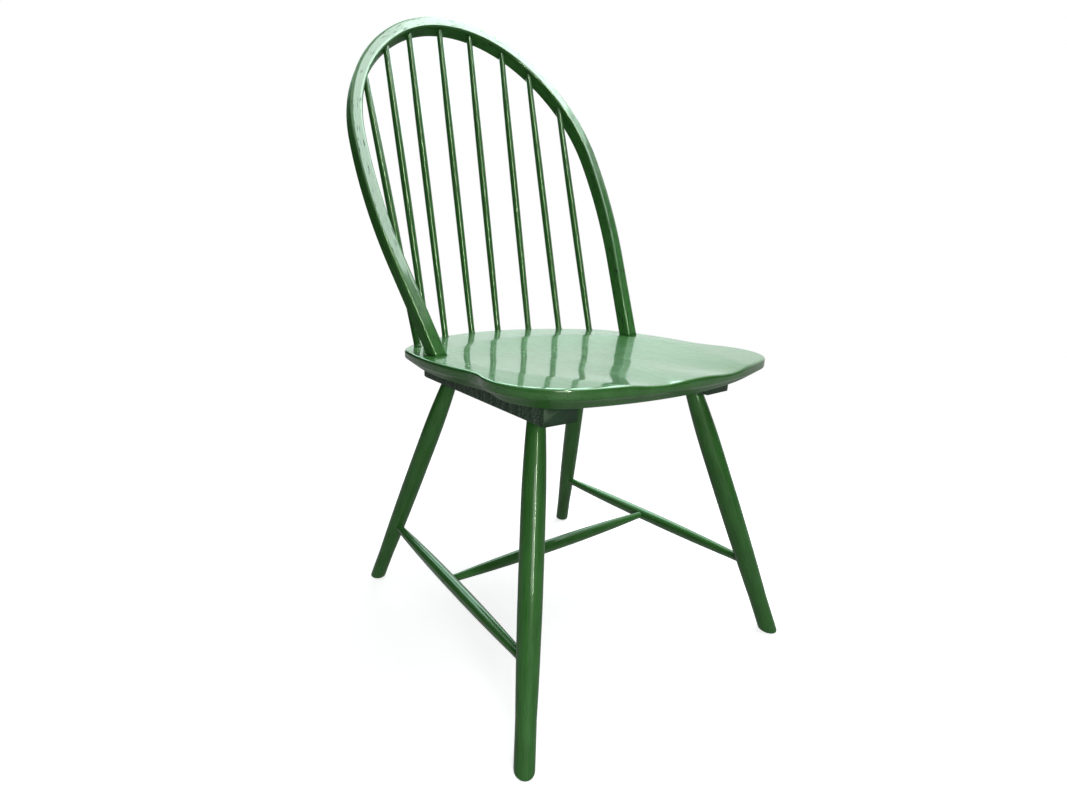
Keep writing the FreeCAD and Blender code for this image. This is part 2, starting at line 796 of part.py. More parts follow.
def make_seat():
    """The plank with the space above the dished surface cut away."""
    blank = make_seat_blank()
    spacing = 20.0
    columns = [spacing * i for i in range(-13, 14)]
    rows = [spacing * i for i in range(-17, 12)]
    grid = [[Vector(x, y, saddle_height(x, y)) for y in rows] for x in columns]
    surface = Part.BSplineSurface()
    surface.interpolate(grid)
    space = doc.addObject("Part::Feature", "above_saddle")
    space.Label = "above_saddle"
    space.Shape = surface.toShape().extrude(UP * size("seat_thickness") * 4)
    seat = doc.addObject("Part::Cut", "seat")
    seat.Label = "seat"
    seat.Base = blank
    seat.Tool = space
    doc.recompute()
    return seat


# Bow: one bent bar, rounded on its long edges, with a round tenon on each foot.

def draw_bow(body):
    """The right half of the bow: outer and inner edges, each a line and three arcs."""
    sketch = sketch_on(body, "Outline", "XZ_Plane")
    half = size("bow_width") / 2
    bend_start = bow_line.foot + bow_line.along * size("bow_straight")
    edges = []
    for offset, foot in ((half, bow_line.outer_foot), (-half, bow_line.inner_foot)):
        points = [bend_start + bow_line.joints[0] * offset, *bow_line.edge_joints(offset)[1:]]
        runs = [line(sketch, foot, points[0])]
        runs += [arc(sketch, *places) for places in zip(bow_line.centres, points, points[1:])]
        join(sketch, runs, smooth=True)
        edges.append((runs, points))
    (outer, points), (inner, inner_points) = edges
    crown = line(sketch, points[-1], inner_points[-1])
    foot = line(sketch, bow_line.inner_foot, bow_line.outer_foot)
    join(sketch, [outer[-1], crown])
    join(sketch, [foot, outer[0]])
    constrain(sketch, "Coincident", crown.index, 2, inner[-1].index, inner[-1].finish)
    constrain(sketch, "Coincident", foot.index, 1, inner[0].index, 1)
    for one, other in zip(outer[1:], inner[1:]):
        constrain(sketch, "Coincident", one.index, 3, other.index, 3)
    for index, place in ((crown.index, 1), (crown.index, 2), (outer[-1].index, 3)):
        constrain(sketch, "PointOnObject", index, place, -2)
    constrain(sketch, "Parallel", inner[0].index, outer[0].index)
    constrain(sketch, "Perpendicular", foot.index, outer[0].index)
    for name, run, radius in zip(("side", "shoulder", "crown"), outer[1:], bow_line.radii):
        measure(sketch, f"{name}_radius", f"bow_{name}_radius + bow_width / 2",
                "Radius", run.index, radius + half)
    measure(sketch, "inner_radius", "bow_crown_radius - bow_width / 2",
            "Radius", inner[-1].index, size("bow_crown_radius") - half)
    corner = bow_line.outer_foot
    measure(sketch, "foot_x", "bow_outer_foot_x", "DistanceX", -1, 1, outer[0].index, 1, corner.x)
    measure(sketch, "foot_drop", "bow_outer_foot_drop",
            "DistanceY", outer[0].index, 1, -1, 1, -corner.y)
    measure(sketch, "straight", "bow_straight + bow_foot_waste",
            "Distance", outer[0].index, size("bow_straight") + size("bow_foot_waste"))
    measure(sketch, "flare", "(90 - bow_flare) * 1 deg",
            "Angle", outer[0].index, math.radians(90 - size("bow_flare")))
    measure(sketch, "joint_height", "bow_outer_joint",
            "DistanceY", -1, 1, outer[1].index, outer[1].finish, points[1].y)
    return sketch


def make_bow():
    body = new_body("bow", bow_place)
    half = pad(body, draw_bow(body), "bow_depth", midplane=True)
    other_half(body, half)
    depth = size("bow_depth") / 2
    round_edges(body, "LongEdges", "bow_edge_round",
                lambda edge: edge.Length > 100 and abs(abs(edge.CenterOfMass.y) - depth) < NEAR)
    for name, side in SIDES.items():
        saw_off(body, f"LevelFoot_{name}", bow_foot(side)[0], above=False)
    overlap = 10.0
    for name, side in SIDES.items():
        foot, down = bow_foot(side)
        tenon = body.newObject("PartDesign::AdditiveCylinder", f"Tenon_{name}")
        tenon.setExpression("Radius", on_sheet("bow_tenon / 2"))
        tenon.setExpression("Height", on_sheet(f"bow_tenon_length + {overlap}"))
        place_tool(body, tenon, aim(foot - down * overlap, down))
        point = bow_screw_point(side)
        bore(body, f"ScrewHole_{name}", point, UP, "bow_screw_shank", "bow_screw_length")
    for i, (pair, side) in enumerate(SPINDLES):
        low, high = spindle_ends(pair, side)
        up = (high - low).normalize()
        bore(body, f"SpindleSocket_{i + 1}", high - up * BEYOND, up,
             "spindle_top", f"{BEYOND} + spindle_bow_depth")
    return body


# Spindles: turned rods, a little fuller in the middle, that go straight into their sockets.

def make_spindle(number):
    pair, side = SPINDLES[number - 1]
    half = f"spindle_half_{SPINDLE_PAIRS.index(pair)}"
    low, high = spindle_ends(pair, side)
    up = (high - low).normalize()
    body = new_body(f"spindle_{number}", aim(low - up * size("spindle_seat_depth"), up))
    depth = "spindle_seat_depth"
    turn_on_lathe(body, [
        ("foot", [], "spindle_foot", "line"),
        ("foot_end", [depth, "spindle_foot_straight"], "spindle_foot", "swell"),
        ("middle", [depth, half], "spindle_middle", "fall"),
        ("top_start", [depth, half, half, "-spindle_top_straight"], "spindle_top", "line"),
        ("top", [depth, half, half, "spindle_bow_depth"], "spindle_top", "line"),
    ])
    return body


# The whole chair.

nodes = [make_seat(), make_bow()]
nodes += [make_spindle(number) for number in range(1, 9)]
nodes += [make_batten(side_name) for side_name in SIDES]
nodes += [make_leg(row, side_name) for row in ("front", "rear") for side_name in SIDES]
nodes += [make_side_stretcher(side_name) for side_name in SIDES]
nodes += [make_cross_stretcher(), make_brads()]
for side_name, side in SIDES.items():
    place = batten_place(side)
    place.Base = batten_screw_points(side)[0]
    nodes.append(make_screws(f"batten_screws_{side_name}", "batten_screw", place,
                             "Y_Axis", 3, "2 * batten_screw_pitch"))
nodes.append(make_screws("bow_screws", "bow_screw", Placement(bow_screw_point(-1), Rotation()),
                         "X_Axis", 2, "2 * (bow_foot_x - bow_screw_inward)"))
doc.recompute()

# Nothing leaves this file unless every object is sound.

for item in doc.Objects:
    assert not {"Invalid", "Error"} & set(item.State), f"{item.Label}: {item.State}"
for node in nodes:
    assert not node.Shape.isNull() and node.Shape.isValid(), f"{node.Label} has no valid shape"

os.makedirs("parts", exist_ok=True)
for node in nodes:
    node.Shape.exportStep(f"parts/{node.Label}.step")
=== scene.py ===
import math

import bpy
from mathutils import Matrix, Vector, noise


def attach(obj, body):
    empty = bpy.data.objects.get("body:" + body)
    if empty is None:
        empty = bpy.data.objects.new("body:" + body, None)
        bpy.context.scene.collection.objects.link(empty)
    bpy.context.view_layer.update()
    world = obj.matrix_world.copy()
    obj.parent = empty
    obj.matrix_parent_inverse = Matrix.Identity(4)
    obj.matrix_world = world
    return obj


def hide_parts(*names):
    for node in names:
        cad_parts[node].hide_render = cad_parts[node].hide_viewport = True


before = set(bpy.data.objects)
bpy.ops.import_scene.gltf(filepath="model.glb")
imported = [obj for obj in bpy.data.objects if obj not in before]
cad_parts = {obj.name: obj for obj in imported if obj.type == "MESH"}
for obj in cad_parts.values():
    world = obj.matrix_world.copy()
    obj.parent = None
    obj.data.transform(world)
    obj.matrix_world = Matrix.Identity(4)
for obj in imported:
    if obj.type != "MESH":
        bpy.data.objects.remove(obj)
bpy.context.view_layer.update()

# Seat: a solid plank sawn to a shield, bevelled underneath and dished by hand on top.
# It is brushed with glossy green paint, which dries in faint ripples that bend reflections.

SEAT_TOP = 0.445
SEAT_UNDER = 0.418
SEAT_BACK = 0.184
SEAT_FRONT = -0.293

# The arcs of the outline's right half: radius, Y where it ends, and 1 if it bulges out.
OUTLINE_ARCS = [
    (0.265, 0.0935, 1),
    (0.070, 0.0633, 1),
    (0.405, -0.1044, 1),
    (0.098, -0.1519, -1),
    (0.0935, None, 1),
]

# How far in and how high the surface is, down the edge and the bevel and onto the underside.
SEAT_SIDE = [
    (0.0, 0.4355), (0.0, 0.4340), (0.0004, 0.4327), (0.0014, 0.4317),
    (0.005, 0.4290), (0.010, 0.42515), (0.015, 0.4214),
    (0.0186, 0.4187), (0.0196, 0.4182), (0.0210, 0.4180), (0.030, 0.418),
]
SEAT_MIDDLE = Vector((0, -0.050))
TOP_RINGS = 52
OUTLINE_STEP = 0.005

# The dished top: the bowl's deepest place, its reach and its depth, and each thigh's hollow.
BOWL_Y = -0.065
BOWL_HALF_WIDTH = 0.190
BOWL_BACK = 0.150
BOWL_FRONT = 0.225
BOWL_DEPTH = 0.007
THIGH_X = 0.068
THIGH_WIDTH = 0.045
THIGH_DEPTH = 0.0045
DISH_EDGE = 0.00018


def outline_half(step):
    """Points and outward directions along the outline, from the back's middle to the front's."""
    radius = OUTLINE_ARCS[0][0]
    centre = Vector((0, SEAT_BACK - radius))
    start = Vector((0, SEAT_BACK))
    spans = []
    for (radius, end_y, out), following in zip(OUTLINE_ARCS[:-1], OUTLINE_ARCS[1:]):
        rise = end_y - centre.y
        run = math.sqrt(radius ** 2 - rise ** 2)
        end = Vector((centre.x + out * run, end_y))
        spans.append((centre, radius, out, start, end))
        turn = out * following[2]
        centre = end + (centre - end).normalized() * following[0] * turn
        start = end
    corner = OUTLINE_ARCS[-1][0]
    reach = centre.y - SEAT_FRONT
    front = (centre.x ** 2 + reach ** 2 - corner ** 2) / (2 * (reach - corner))
    front_centre = Vector((0, SEAT_FRONT + front))
    end = centre + (centre - front_centre).normalized() * corner
    spans.append((centre, corner, 1, start, end))
    spans.append((front_centre, front, 1, end, Vector((0, SEAT_FRONT))))
    places = []
    for centre, radius, out, start, end in spans:
        first = math.atan2(*(start - centre).yx)
        last = math.atan2(*(end - centre).yx)
        if abs(last - first) > math.pi:
            last += math.copysign(2 * math.pi, first - last)
        count = max(2, round(abs(last - first) * radius / step))
        for i in range(count):
            angle = first + (last - first) * i / count
            away = Vector((math.cos(angle), math.sin(angle)))
            places.append((centre + away * radius, away * out))
    places.append((Vector((0, SEAT_FRONT)), Vector((0, -1))))
    return places


def seat_height(x, y):
    """The top surface: a flat deck at the back, a shallow dish and a hollow for each thigh."""
    back = y - BOWL_Y
    reach = BOWL_BACK if back > 0 else BOWL_FRONT
    bowl = BOWL_DEPTH * (1 - (x / BOWL_HALF_WIDTH) ** 2 - (back / reach) ** 2)
    forward = min(max(-back / reach, 0), 1) ** 2
    thighs = sum(math.exp(-((x - side * THIGH_X) / THIGH_WIDTH) ** 2) for side in (-1, 1))
    drop = bowl + THIGH_DEPTH * forward * thighs
    if drop < 60 * DISH_EDGE:
        drop = DISH_EDGE * math.log1p(math.exp(drop / DISH_EDGE))
    ripple = 0.00012 * noise.noise(Vector((x * 22, y * 16, 0.3)))
    ripple += 0.00004 * noise.noise(Vector((x * 60, y * 40, 7.1)))
    return SEAT_TOP - drop + ripple


def mesh_piece(name, rings, closed, grain=None, caps=True):
    """A smooth quad mesh through rings of points, closed round each ring or open.

    Grain is each point's place in the wood: along the grain first, then across it.
    """
    points = [point for ring in rings for point in ring]
    width = len(rings[0])
    around = width if closed else width - 1
    faces = []
    for j in range(len(rings) - 1):
        for i in range(around):
            a, b = j * width + i, j * width + (i + 1) % width
            faces.append((a, b, b + width, a + width))
    if caps:
        last = (len(rings) - 1) * width
        faces.append(tuple(reversed(range(width))))
        faces.append(tuple(range(last, last + width)))
    mesh = bpy.data.meshes.new(name)
    mesh.from_pydata(points, [], faces)
    mesh.shade_smooth()
    if grain:
        lay = mesh.attributes.new("grain", "FLOAT_VECTOR", "POINT")
        lay.data.foreach_set("vector", [value for place in grain for value in place])
    piece = bpy.data.objects.new(name, mesh)
    bpy.context.scene.collection.objects.link(piece)
    return piece


class Shade:
    """A number in a material's nodes; arithmetic on it adds Math nodes."""

    def __init__(self, finish, socket):
        self.finish = finish
        self.socket = socket

    def __add__(self, other):
        return self.finish.math("ADD", self, other)

    def __sub__(self, other):
        return self.finish.math("SUBTRACT", self, other)

    def __rsub__(self, other):
        return self.finish.math("SUBTRACT", other, self)

    def __mul__(self, other):
        return self.finish.math("MULTIPLY", self, other)

    __radd__ = __add__
    __rmul__ = __mul__


class Finish:
    """A material and its nodes, for one kind of surface, or the sky's where a world is given."""

    def __init__(self, name, world=None):
        self.material = world or bpy.data.materials.new(name)
        self.material.use_nodes = True
        self.tree = self.material.node_tree
        self.shader = self.tree.nodes["Background" if world else "Principled BSDF"]

    def fill(self, sockets, values):
        for key, value in values.items():
            if isinstance(value, Shade):
                self.tree.links.new(value.socket, sockets[key])
            else:
                sockets[key].default_value = value

    def node(self, kind, settings=None, values=None, output=0):
        """A node of any kind: its settings, then the values or links of its sockets."""
        made = self.tree.nodes.new(kind)
        for key, value in (settings or {}).items():
            setattr(made, key, value)
        self.fill(made.inputs, values or {})
        return Shade(self, made.outputs[output])

    def math(self, operation, first, second):
        return self.node("ShaderNodeMath", {"operation": operation}, {0: first, 1: second})

    def surface(self, **values):
        """The material, with these values or links on its shader's sockets."""
        self.fill(self.shader.inputs, {key.replace("_", " "): v for key, v in values.items()})
        return self.material

    def noise(self, place, stretch, scale, detail=3.0, roughness=0.55):
        """Noise over a place in metres, drawn out along each axis with a small stretch."""
        spread = self.node("ShaderNodeVectorMath", {"operation": "MULTIPLY"},
                           {0: place, 1: stretch})
        return self.node("ShaderNodeTexNoise", {},
                         {"Vector": spread, "Scale": scale, "Detail": detail,
                          "Roughness": roughness})

    def blend(self, amount, first, second):
        """A colour mixed from two, all of the second where the amount is 1."""
        return self.node("ShaderNodeMix", {"data_type": "RGBA"},
                         {0: amount, 6: first, 7: second}, output=2)

    def between(self, value, low, high, from_low=0.0, from_high=1.0):
        """Low to high as the value goes over its own span, and level past either end."""
        return self.node("ShaderNodeMapRange", {},
                         {0: value, 1: from_low, 2: from_high, 3: low, 4: high})


GREEN = (0.042, 0.175, 0.030, 1)
LIGHT_GREEN = (0.062, 0.225, 0.050, 1)
DARK_GREEN = (0.016, 0.078, 0.014, 1)
# The colour of bare wood in open pores; it is also the painted shade of the dark spot over each
# nail's hole.
BARE_PORE_AND_HOLE_SHADE = (0.006, 0.020, 0.010, 1)


def brushed_paint(name, pores, rough, coat=0.5, level=None, coat_ior=1.5, dark=0.0,
                  pore_size=(0.055, 1300), painted_hole=None):
    """Green paint brushed over wood: cloudy colour, brush marks along the grain, open pores.

    Pores is how rare the open pores are, and pore_size how drawn out and how fine they are.
    The paint flows out to a glossy coat all over, or, where level is given, only where the
    third value of the grain lies past that span. A higher dark leaves more of the dark green.
    The painted hole is the place, in the grain's terms, of a dark spot painted over a sunk nail:
    painted shade where its hole would be.
    """
    finish = Finish(name)
    place = finish.node("ShaderNodeAttribute", {"attribute_name": "grain"}, output=1)
    clouds = finish.noise(place, (0.5, 1, 1), 34, 3)
    marks = finish.noise(place, (0.03, 1, 1), 900, 3, 0.6)
    specks = finish.noise(place, (1, 1, 1), 1400, 2, 0.5)
    lines = finish.noise(place, (pore_size[0], 1, 1), pore_size[1], 2, 0.5)
    pore_and_hole_shade = finish.between(lines, 0, 1, pores, pores + 0.035)
    # Over a sunk nail a dark spot is painted into the pores' mask: painted shade where the nail's
    # hole would be.
    if painted_hole:
        same = finish.node("ShaderNodeVectorMath", {"operation": "ABSOLUTE"}, {0: place})
        away = finish.node("ShaderNodeVectorMath", {"operation": "DISTANCE"},
                           {0: same, 1: painted_hole}, output=1)
        pore_and_hole_shade = finish.math("MAXIMUM", pore_and_hole_shade, finish.between(away, 1, 0, 0.0016, 0.0024))
    colour = finish.blend(finish.between(clouds, 0, 1, 0.32, 0.68), GREEN, LIGHT_GREEN)
    colour = finish.blend(finish.between(marks, dark, 0.65 + dark, 0.45, 0.72), colour, DARK_GREEN)
    # Open pores take the dark bare colour, and so does the spot over the nail, which is painted
    # shade.
    colour = finish.blend(pore_and_hole_shade * 0.85, colour, BARE_PORE_AND_HOLE_SHADE)
    relief = marks * 0.35 + specks * 0.12 + clouds * 0.6 - pore_and_hole_shade * 0.9
    bump = finish.node("ShaderNodeBump", {}, {"Strength": 0.35, "Distance": 0.00022,
                                              "Height": relief})
    if level:
        height = finish.node("ShaderNodeSeparateXYZ", {}, {0: place}, output=2)
        coat = finish.between(height, 0, coat, *level)
    return finish.surface(
        Base_Color=colour, Normal=bump, Specular_IOR_Level=0.15,
        Roughness=finish.between(marks + specks * 0.5, rough, rough + 0.2, 0.4, 1.1),
        Coat_Weight=(1 - pore_and_hole_shade * 0.8) * coat, Coat_Roughness=0.07, Coat_IOR=coat_ior)


def edge_round(point):
    """The radius of the top edge, which is worn rounder along the back than at the front."""
    back = min(max((point.y - 0.02) / 0.10, 0), 1)
    return 0.0026 + 0.0034 * back


def make_seat():
    """The seat from the middle of its top out to the edge, down and back under to the middle."""
    half = outline_half(OUTLINE_STEP)
    other = [(Vector((-p.x, p.y)), Vector((-n.x, n.y))) for p, n in half[-2:0:-1]]
    edge = half + other
    rings = []
    for j in range(1, TOP_RINGS + 1):
        ring = []
        for point, out in edge:
            rim = point - out * edge_round(point)
            x, y = SEAT_MIDDLE + (rim - SEAT_MIDDLE) * (j / TOP_RINGS)
            ring.append((x, y, seat_height(x, y)))
        rings.append(ring)
    for j in range(1, 7):
        turn = math.radians(15 * j)
        ring = []
        for point, out in edge:
            size = edge_round(point)
            rim = point - out * size
            x, y = rim + out * size * math.sin(turn)
            ring.append((x, y, seat_height(*rim) - size * (1 - math.cos(turn))))
        rings.append(ring)
    for inset, z in SEAT_SIDE:
        rings.append([(*(point - out * inset), z) for point, out in edge])
    innermost = SEAT_SIDE[-1][0]
    for share in (0.8, 0.6, 0.4, 0.2, 0.02):
        ring = []
        for point, out in edge:
            rim = point - out * innermost
            ring.append((*(SEAT_MIDDLE + (rim - SEAT_MIDDLE) * share), SEAT_UNDER))
        rings.append(ring)
    grain = [(y, x, z) for ring in rings for x, y, z in ring]
    return mesh_piece("seat_painted", rings, True, grain)


seat = make_seat()
seat.data.materials.append(
    brushed_paint("seat_paint", 0.66, 0.34, coat=1.0, level=(0.428, 0.437),
                  pore_size=(0.4, 620)))
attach(seat, "root")
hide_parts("seat")

# Battens: two sawn bars screwed up into the plank, which carry the legs' through tenons.
# Their saw marks were left rough under one thin coat, and the front ends were cut cleaner.

BATTEN_LOW = 0.389
BATTEN_HALF = 0.026
BATTEN_AHEAD = 0.048
BATTEN_BEHIND = 0.057
BATTEN_EDGE = 0.0012
BATTEN_EASE = 0.0018
BATTEN_EASE_IN = 0.0008
BATTEN_HEEL = 0.006
BATTEN_STEP = 0.004
TEAR_DEPTH = 0.0003

# A leg on the right: its foot on the floor and its axis at the batten's underside, in X and Y.
LEG_LINES = {
    "front": (Vector((0.2447, -0.2851, 0)), Vector((0.1500, -0.1711, BATTEN_LOW))),
    "rear": (Vector((0.2264, 0.1896, 0)), Vector((0.1395, 0.0599, BATTEN_LOW))),
}
SIDES = {"left": -1, "right": 1}


def on_side(point, side):
    return Vector((side * point[0], point[1], point[2]))


def on_leg(row, side, height):
    foot, top = LEG_LINES[row]
    return on_side(foot + (top - foot) * (height / BATTEN_LOW), side)


def rounded_outline(half_width, low, high, radius, corner_steps, flat_steps):
    """A rectangle with rounded corners, as points round it from the lower right corner."""
    right, bottom, top = half_width - radius, low + radius, high - radius
    corners = [((right, bottom), -90), ((right, top), 0),
               ((-right, top), 90), ((-right, bottom), 180)]
    points = []
    for (x, z), start in corners:
        for i in range(corner_steps + 1):
            turn = math.radians(start + 90 * i / corner_steps)
            points.append(Vector((x + radius * math.cos(turn), z + radius * math.sin(turn))))
    spread = []
    for here, there in zip(points, points[1:] + points[:1]):
        count = flat_steps if (there - here).length > radius else 1
        spread += [here.lerp(there, i / count) for i in range(count)]
    return spread


def torn(depth, x, z):
    """How far in the saw has torn the wood at a place on a batten's side."""
    tear = 0.00028 * noise.noise(Vector((depth * 260, x * 500, z * 500)))
    tear += 0.00022 * noise.noise(Vector((depth * 700, x * 60, z * 60)))
    return max(tear, -TEAR_DEPTH) + TEAR_DEPTH


def make_batten(side_name, side):
    """A batten along its two legs' tops, with eased ends and a rounded heel at the rear."""
    level = (SEAT_UNDER + BATTEN_LOW) / 2
    front, rear = on_leg("front", side, level), on_leg("rear", side, level)
    along = (rear - front).normalized()
    across = Vector((along.y, -along.x, 0))
    start = Vector((front.x, front.y, 0)) - along * BATTEN_AHEAD
    length = (rear - front).length + BATTEN_AHEAD + BATTEN_BEHIND
    section = rounded_outline(BATTEN_HALF, BATTEN_LOW, SEAT_UNDER, BATTEN_EDGE, 3, 14)
    depths = [0.0, BATTEN_EASE / 3, BATTEN_EASE]
    depths += [BATTEN_STEP * i for i in range(1, int(length / BATTEN_STEP))]
    depths += [length - BATTEN_EASE, length - BATTEN_EASE / 3, length]
    rings, grain = [], []
    for depth in depths:
        from_end = min(depth, length - depth)
        shrink = BATTEN_EASE_IN * max(0, 1 - from_end / BATTEN_EASE) ** 2
        heel = max(BATTEN_HEEL - (length - depth), 0)
        lift = BATTEN_HEEL - math.sqrt(BATTEN_HEEL ** 2 - heel ** 2)
        ring = []
        for x, z in section:
            rough = torn(depth, x, z) if abs(x) > BATTEN_HALF - BATTEN_EDGE * 2 / 3 else 0
            x -= math.copysign(shrink + rough, x)
            if z < level - BATTEN_HEEL:
                z = max(z, BATTEN_LOW + lift)
            ring.append(start + along * depth + across * x + Vector((0, 0, z)))
            grain.append((depth, x, z))
        rings.append(ring)
    return mesh_piece(f"batten_{side_name}_painted", rings, True, grain)


def rough_paint(name):
    """One thin dark coat over saw marks, with bright ridges; the front end is plainer."""
    finish = Finish(name)
    place = finish.node("ShaderNodeAttribute", {"attribute_name": "grain"}, output=1)
    fuzz = finish.noise(place, (0.5, 1, 1), 620, 4, 0.75)
    saw = finish.noise(place, (1, 0.05, 0.05), 420, 3, 0.6)
    clouds = finish.noise(place, (0.4, 1, 1), 45, 3)
    depth = finish.node("ShaderNodeSeparateXYZ", {}, {0: place})
    sawn = finish.between(depth, 0.1, 1, 0.0004, 0.0020)
    ridges = finish.between(fuzz + saw * 0.35, 0, 1, 0.66, 0.78) * sawn
    colour = finish.blend(finish.between(clouds, 0, 1, 0.35, 0.7),
                          (0.010, 0.042, 0.016, 1), (0.022, 0.066, 0.030, 1))
    colour = finish.blend(ridges * 0.9, colour, (0.24, 0.34, 0.25, 1))
    bump = finish.node("ShaderNodeBump", {}, {"Strength": 0.8, "Distance": 0.0006,
                                              "Height": (fuzz + saw * 0.6) * sawn})
    rough = finish.between(fuzz, 0.40, 0.70, 0.35, 0.7)
    return finish.surface(Base_Color=colour, Roughness=rough, Normal=bump,
                          Specular_IOR_Level=0.3)


batten_finish = rough_paint("batten_paint")
for side_name, side in SIDES.items():
    batten = make_batten(side_name, side)
    batten.data.materials.append(batten_finish)
    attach(batten, "root")
    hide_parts(f"batten_{side_name}")

# Legs: turned from one billet, fullest a third of the way down and slimmer at the foot.
# The neck runs on as a tenon through the batten, and the foot is sawn level with the floor.

LEG_FOOT = 0.0128
LEG_BELLY = 0.0155
LEG_NECK = 0.0120
FOOT_EDGE = 0.005
FOOT_STRAIGHT = 0.060
BELLY_START = 0.245
BELLY_END = 0.300
NECK_STRAIGHT = 0.006
LEVELLED = 0.05
LEG_STEP = 0.006
LEG_FIRST = 0.008


def swell(low, high, share):
    """A radius between two, along an arc that ends parallel to the axis at the high one."""
    return high - (high - low) * (1 - share) ** 2


def leg_radius(height, length):
    """The leg's radius at a distance up its axis; length is up to the batten."""
    if height < FOOT_STRAIGHT:
        return LEG_FOOT
    if height < BELLY_START:
        return swell(LEG_FOOT, LEG_BELLY, (height - FOOT_STRAIGHT) / (BELLY_START - FOOT_STRAIGHT))
    if height < BELLY_END:
        return LEG_BELLY
    neck = length - NECK_STRAIGHT
    if height < neck:
        return swell(LEG_NECK, LEG_BELLY, (neck - height) / (neck - BELLY_END))
    return LEG_NECK


def turned_piece(name, start, end, rings_at, sides, seed, level_foot=False):
    """A piece turned on a lathe: rings_at gives (distance from start, radius) up its axis.

    The rings wander off round a little. A level foot is sawn along the floor at the start.
    """
    axis = (end - start).normalized()
    level = Vector((0, 0, 1)) if abs(axis.z) < 0.9 else Vector((0, 1, 0))
    right = axis.cross(level).normalized()
    front = right.cross(axis)
    rings, grain = [], []
    for distance, radius in rings_at:
        ring = []
        for i in range(sides):
            turn = 2 * math.pi * i / sides
            out = right * math.cos(turn) + front * math.sin(turn)
            wander = noise.noise(Vector((distance * 30, math.cos(turn) * 0.7 + seed,
                                         math.sin(turn) * 0.7)))
            reach = radius * (0.996 + 0.006 * wander)
            slip = 0.0
            if level_foot:
                slip = -out.z * reach / axis.z * max(0, 1 - distance / LEVELLED)
            ring.append(start + axis * (distance + slip) + out * reach)
            grain.append((distance + seed, out.dot(right) * radius, out.dot(front) * radius))
        rings.append(ring)
    return mesh_piece(name, rings, True, grain)


leg_finish = brushed_paint("leg_paint", 0.74, 0.36, coat=0.35)
for number, row in enumerate(LEG_LINES):
    for side_name, side in SIDES.items():
        foot = on_leg(row, side, 0)
        length = (on_leg(row, side, BATTEN_LOW) - foot).length
        tenon = (on_leg(row, side, SEAT_UNDER - 0.001) - foot).length
        rings_at = [(0.0, 0.002), (0.0, 0.006), (0.0, LEG_FOOT - FOOT_EDGE)]
        for turn in map(math.radians, (18, 36, 54, 72, 90)):
            rings_at.append((FOOT_EDGE * (1 - math.cos(turn)),
                             LEG_FOOT - FOOT_EDGE + FOOT_EDGE * math.sin(turn)))
        steps = int((tenon - LEG_FIRST) / LEG_STEP)
        heights = [LEG_FIRST + LEG_STEP * i for i in range(1, steps)] + [tenon]
        rings_at += [(height, leg_radius(height, length)) for height in heights]
        name = f"leg_{row}_{side_name}"
        leg = turned_piece(name + "_painted", foot, on_leg(row, side, SEAT_UNDER), rings_at,
                           sides=56, seed=number * 3.1 + side, level_foot=True)
        leg.data.materials.append(leg_finish)
        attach(leg, "root")
        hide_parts(name)

# Stretchers: three cigar-shaped turned rods that tie the legs, glued into blind sockets.
# A headless nail through each side stretcher holds the cross one; its hole is a dark spot painted
# on the outside, painted shade in place of a real hole.

STRETCHER_HEIGHT = 0.1143
STRETCHER_MIDDLE = 0.0100
MIDDLE_STRAIGHT = 0.016
STRETCHER_STEP = 0.005
SIDE_END = 0.00675
SIDE_STRAIGHT = 0.026
SIDE_INSIDE = 0.004
SIDE_SEED = 2.3
CROSS_END = 0.00575
CROSS_STRAIGHT = 0.018
CROSS_INSIDE = 0.002
CROSS_SEED = 4.2


def stretcher_radius(distance, length, end, straight):
    """A straight end, a long swell to the middle and a short parallel part there."""
    from_end = min(distance, length - distance)
    middle = length / 2 - MIDDLE_STRAIGHT
    if from_end < straight:
        return end
    if from_end < middle:
        return swell(end, STRETCHER_MIDDLE, (from_end - straight) / (middle - straight))
    return STRETCHER_MIDDLE


def make_stretcher(name, start, end, inside, end_radius, straight, seed, finish):
    """A stretcher between two axes, with its ends run on a little way inside past them."""
    along = (end - start).normalized()
    start, end = start - along * inside, end + along * inside
    length = (end - start).length
    count = round(length / STRETCHER_STEP)
    rings_at = []
    for i in range(count + 1):
        distance = length * i / count
        radius = stretcher_radius(distance, length, end_radius, straight + inside)
        rings_at.append((distance, radius))
    stretcher = turned_piece(name + "_painted", start, end, rings_at, sides=48, seed=seed)
    stretcher.data.materials.append(finish)
    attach(stretcher, "root")
    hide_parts(name)


middles = []
for side_name, side in SIDES.items():
    front = on_leg("front", side, STRETCHER_HEIGHT)
    rear = on_leg("rear", side, STRETCHER_HEIGHT)
    # The place, in the grain's terms, of the dark spot painted over the nail as the shade in its
    # hole.
    painted_hole_place = ((rear - front).length / 2 + SIDE_INSIDE + SIDE_SEED, STRETCHER_MIDDLE, 0.001)
    finish = brushed_paint(f"side_stretcher_paint_{side_name}", 0.74, 0.34, coat=0.9, painted_hole=painted_hole_place)
    make_stretcher(f"side_stretcher_{side_name}", front, rear, SIDE_INSIDE, SIDE_END,
                   SIDE_STRAIGHT, SIDE_SEED, finish)
    middles.append((front + rear) / 2)
make_stretcher("cross_stretcher", *middles, CROSS_INSIDE, CROSS_END, CROSS_STRAIGHT, CROSS_SEED,
               brushed_paint("cross_stretcher_paint", 0.74, 0.34))

# Bow: one bar bent to a hoop and let into the seat at both feet, screwed from below.
# The open-pored wood shows as short dark dashes through the paint on its flat front.

